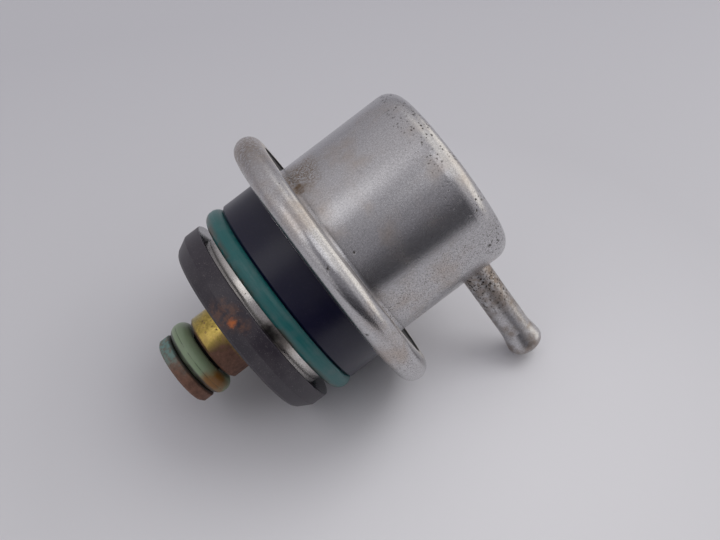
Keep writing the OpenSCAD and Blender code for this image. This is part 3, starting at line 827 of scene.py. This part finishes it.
class REGULATOR_OT_rail_seal(bpy.types.Operator):
    """Models the large seal between the support ring and the strainer"""
    bl_idname = "regulator.rail_seal"
    bl_label = "Rail seal"

    def execute(self, context):
        colours = context.scene.regulator_colours
        sizes = context.scene.regulator_sizes
        piece = ring_seal("rail_seal", sizes, press=sizes.seal_press, lean=sizes.seal_lean)
        low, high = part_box("rail_seal")
        middle = PER_METRE_TO_MM * (low.x + high.x) / 2
        # Brown dirt with painted shade on the flank towards the strainer
        flank = {"thin": middle + 0.05, "thick": middle - 0.8, "least": 0.12, "most": 0.85,
                 "colour": tuple(colours.seal_dirt_and_shade)}
        rubber = rubber_finish(
            "teal_fluorocarbon_rubber", tuple(colours.teal), tuple(colours.dust), dusty=0.18, flank=flank)
        finish_piece(piece, "rail_o_ring", "rail_seal", rubber)
        return {"FINISHED"}


class REGULATOR_OT_return_seal(bpy.types.Operator):
    """Models the small seal in the return tube's groove"""
    bl_idname = "regulator.return_seal"
    bl_label = "Return seal"

    def execute(self, context):
        colours = context.scene.regulator_colours
        piece = ring_seal("return_seal", context.scene.regulator_sizes)
        low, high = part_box("return_seal")
        middle = PER_METRE_TO_MM * (low.x + high.x) / 2
        stain = {"marks": (((-17.6, -4.7, 0.6), 3.0), ((-18.3, -4.2, -0.8), 1.6)),
                 "colour": tuple(colours.fuel_stain)}
        parting = {"along": middle, "colour": tuple(colours.seam_dirt)}
        # Painted shade on the flank by the collar, a dark gap between the seal and the collar
        flank = {"thin": middle - 0.5, "thick": middle - 0.75, "least": 0.75, "most": 0.95,
                 "colour": tuple(colours.groove_painted_shade)}
        rubber = rubber_finish(
            "sage_fluorocarbon_rubber", tuple(colours.sage), tuple(colours.dust), dusty=0.2,
            stain=stain, parting=parting, flank=flank)
        finish_piece(piece, "return_o_ring", "return_seal", rubber)
        return {"FINISHED"}


class REGULATOR_OT_screen(bpy.types.Operator):
    """Weaves the strainer's screen from flat threads"""
    bl_idname = "regulator.screen"
    bl_label = "Strainer screen"

    def execute(self, context):
        sizes = context.scene.regulator_sizes
        low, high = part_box("strainer_screen")
        outer = high.z
        hub = min(math.hypot(v.co.y, v.co.z) for v in frame["nodes"]["strainer_screen"].data.vertices)
        middle = (low.x + high.x) / 2
        sway = (high.x - low.x) / 4
        count = int(outer / sizes.screen_pitch)
        threads = []
        for across in (False, True):
            for i in range(-count, count + 1):
                side = i * sizes.screen_pitch
                end = math.sqrt(outer ** 2 - side ** 2)
                start = math.sqrt(hub ** 2 - side ** 2) if abs(side) < hub else 0.0
                runs = [(-end, -start), (start, end)] if start else [(-end, end)]
                phase = math.pi * (i + (1 if across else 0))
                for run in runs:
                    threads.append(self.thread(sizes, run, side, phase, across, middle, sway))
        deselect_all()
        for thread in threads:
            thread.select_set(True)
        bpy.context.view_layer.objects.active = threads[0]
        bpy.ops.object.join()
        piece = bpy.context.object
        thick = piece.modifiers.new("thickness", "SOLIDIFY")
        thick.thickness = 1.6 * sway
        thick.offset = 0.0
        apply_modifiers(piece)
        wire = plain_metal(
            "woven_wire_screen", context.scene.regulator_colours.screen, rough=0.45, scratch_mm=0.3)
        finish_piece(piece, "woven_screen", "strainer_screen", wire)
        return {"FINISHED"}

    def thread(self, sizes, run, side, phase, across, middle, sway):
        """One flat thread that passes over and under the threads it crosses."""
        reach = run[1] - run[0]
        steps = max(2, round(4 * reach / sizes.screen_pitch))
        deselect_all()
        bpy.ops.mesh.primitive_grid_add(x_subdivisions=steps, y_subdivisions=1, size=1.0)
        thread = bpy.context.object
        for vertex in thread.data.vertices:
            along = run[0] + (vertex.co.x + 0.5) * reach
            beside = side + vertex.co.y * sizes.screen_thread
            height = middle + sway * math.cos(math.pi * along / sizes.screen_pitch + phase)
            vertex.co = (height, beside, along) if across else (height, along, beside)
        return thread


class REGULATOR_OT_spring(bpy.types.Operator):
    """Winds the pressure spring, with closed ends that are ground flat"""
    bl_idname = "regulator.spring"
    bl_label = "Pressure spring"

    def execute(self, context):
        sizes = context.scene.regulator_sizes
        low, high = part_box("pressure_spring")
        wire_r = sizes.wire_d / 2
        coil_r = high.z - wire_r
        sides, steps_per_turn = 20, 48
        steps = int(sizes.coil_turns * steps_per_turn)
        deselect_all()
        bpy.ops.mesh.primitive_circle_add(
            vertices=sides, radius=wire_r, fill_type="NOTHING", location=(0, 0, coil_r))
        piece = bpy.context.object
        bpy.ops.object.mode_set(mode="EDIT")
        bpy.ops.mesh.select_all(action="SELECT")
        bpy.ops.transform.rotate(value=math.pi / 2, orient_axis="X", center_override=(0, 0, coil_r))
        bpy.ops.object.mode_set(mode="OBJECT")
        bpy.ops.object.transform_apply(location=True, rotation=True)
        wound = piece.modifiers.new("wound", "SCREW")
        wound.axis = "X"
        wound.angle = 2 * math.pi * sizes.coil_turns
        wound.steps = wound.render_steps = steps
        wound.screw_offset = 0.0
        wound.use_merge_vertices = False
        apply_modifiers(piece)
        close = sizes.wire_d + 0.1 * MM

        def rise(turn):
            last = sizes.coil_turns - 1
            if turn < 1:
                return low.x + close * turn
            if turn > last:
                return high.x - close * (sizes.coil_turns - turn)
            return low.x + close + (high.x - low.x - 2 * close) * (turn - 1) / (last - 1)

        for vertex in piece.data.vertices:
            vertex.co.x += rise(sizes.coil_turns * (vertex.index // sides) / steps)
        bpy.ops.object.mode_set(mode="EDIT")
        bpy.ops.mesh.select_all(action="SELECT")
        bpy.ops.mesh.bisect(plane_co=(low.x, 0, 0), plane_no=(1, 0, 0), use_fill=True, clear_inner=True)
        bpy.ops.mesh.select_all(action="SELECT")
        bpy.ops.mesh.bisect(plane_co=(high.x, 0, 0), plane_no=(1, 0, 0), use_fill=True, clear_outer=True)
        bpy.ops.mesh.select_all(action="SELECT")
        bpy.ops.mesh.normals_make_consistent(inside=False)
        bpy.ops.object.mode_set(mode="OBJECT")
        wire = plain_metal(
            "drawn_spring_wire", context.scene.regulator_colours.spring_wire, rough=0.4, scratch_mm=0.3)
        finish_piece(piece, "wound_spring", "pressure_spring", wire)
        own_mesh(piece)
        return {"FINISHED"}


class REGULATOR_OT_valve(bpy.types.Operator):
    """Finishes the diaphragm and the valve that hangs from it"""
    bl_idname = "regulator.valve"
    bl_label = "Valve and diaphragm"

    def execute(self, context):
        colours = context.scene.regulator_colours
        plated = plain_metal("zinc_plated_steel", colours.plating, rough=0.35, scratch_mm=0.8)
        turned = plain_metal("turned_steel", colours.turned, rough=0.28, scratch_mm=0.15)
        cloth_rubber = rubber_finish(
            "cloth_reinforced_rubber", tuple(colours.diaphragm), tuple(colours.dust), dusty=0.15)
        dress("diaphragm", cloth_rubber)
        dress("spring_seat", plated)
        dress("ball_retainer", plated)
        dress("valve_holder", turned)
        dress("valve_plate", turned)
        dress("valve_ball", plain_metal("polished_bearing_steel", colours.ball, rough=0.14, scratch_mm=1.5))
        return {"FINISHED"}


class REGULATOR_PT_sidebar(bpy.types.Panel):
    """Lists the regulator's pieces in the sidebar"""
    bl_label = "Fuel pressure regulator"
    bl_idname = "REGULATOR_PT_sidebar"
    bl_space_type = "VIEW_3D"
    bl_region_type = "UI"
    bl_category = "Regulator"

    def draw(self, context):
        for operator in OPERATORS:
            self.layout.operator(operator.bl_idname)


GROUPS = (RegulatorSizes, RegulatorColours, RegulatorCamera)
OPERATORS = (
    REGULATOR_OT_stage, REGULATOR_OT_steel, REGULATOR_OT_plastic, REGULATOR_OT_brass, REGULATOR_OT_rail_seal,
    REGULATOR_OT_return_seal, REGULATOR_OT_screen, REGULATOR_OT_spring, REGULATOR_OT_valve,
)


def register():
    for cls in (*GROUPS, *OPERATORS, REGULATOR_PT_sidebar):
        bpy.utils.register_class(cls)
    bpy.types.Scene.regulator_sizes = bpy.props.PointerProperty(type=RegulatorSizes)
    bpy.types.Scene.regulator_colours = bpy.props.PointerProperty(type=RegulatorColours)
    bpy.types.Scene.regulator_camera = bpy.props.PointerProperty(type=RegulatorCamera)


def unregister():
    del bpy.types.Scene.regulator_camera
    del bpy.types.Scene.regulator_colours
    del bpy.types.Scene.regulator_sizes
    for cls in reversed((*GROUPS, *OPERATORS, REGULATOR_PT_sidebar)):
        bpy.utils.unregister_class(cls)


def main():
    register()
    bpy.ops.regulator.stage()
    bpy.ops.regulator.steel()
    bpy.ops.regulator.plastic()
    bpy.ops.regulator.brass()
    bpy.ops.regulator.rail_seal()
    bpy.ops.regulator.return_seal()
    bpy.ops.regulator.screen()
    bpy.ops.regulator.spring()
    bpy.ops.regulator.valve()


if __name__ == "__main__":
    main()
